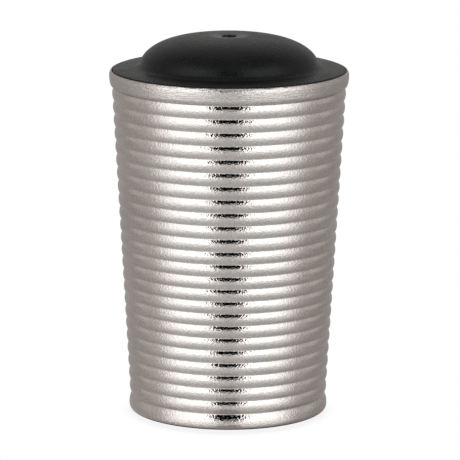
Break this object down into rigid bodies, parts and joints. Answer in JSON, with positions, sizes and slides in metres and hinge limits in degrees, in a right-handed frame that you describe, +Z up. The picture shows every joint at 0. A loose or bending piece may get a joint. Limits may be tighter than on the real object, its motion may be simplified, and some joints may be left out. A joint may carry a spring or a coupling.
{
  "type": "pepper shaker",
  "caption": "Tapered pepper shaker: a horizontally ribbed satin metal sleeve round a moulded cup, closed by a black domed push-in cap with a pour hole in a dimple.",
  "frame": {"origin": "middle of the foot ring's underside, on the surface that the shaker stands on", "axes": "+Z up along the shaker's axis; it is round, so +X and +Y are any two square directions"},
  "size_m": [0.046, 0.046, 0.0737],
  "materials": {
    "satin_nickel": "fine blasted satin nickel plate, warm grey",
    "base_metal": "plain satin pressed sheet",
    "foot_rubber": "matt black",
    "cup_plastic": "natural milky moulding",
    "cap_rubber": "soft matt black",
    "core_plastic": "fine matt black moulding",
    "seal_silicone": "grey silicone"
  },
  "bodies": {
    "body": {"ribbed_sleeve": "satin_nickel", "base_plate": "base_metal", "foot_ring": "foot_rubber", "inner_cup": "cup_plastic"},
    "cap": {"cap_skin": "cap_rubber", "cap_core": "core_plastic", "seal_ring": "seal_silicone"}
  },
  "joints": [
    {"name": "cap_lift", "type": "slide", "parent": "body", "child": "cap", "axis": [0, 0, 1], "range_m": [0, 0.03]}
  ]
}
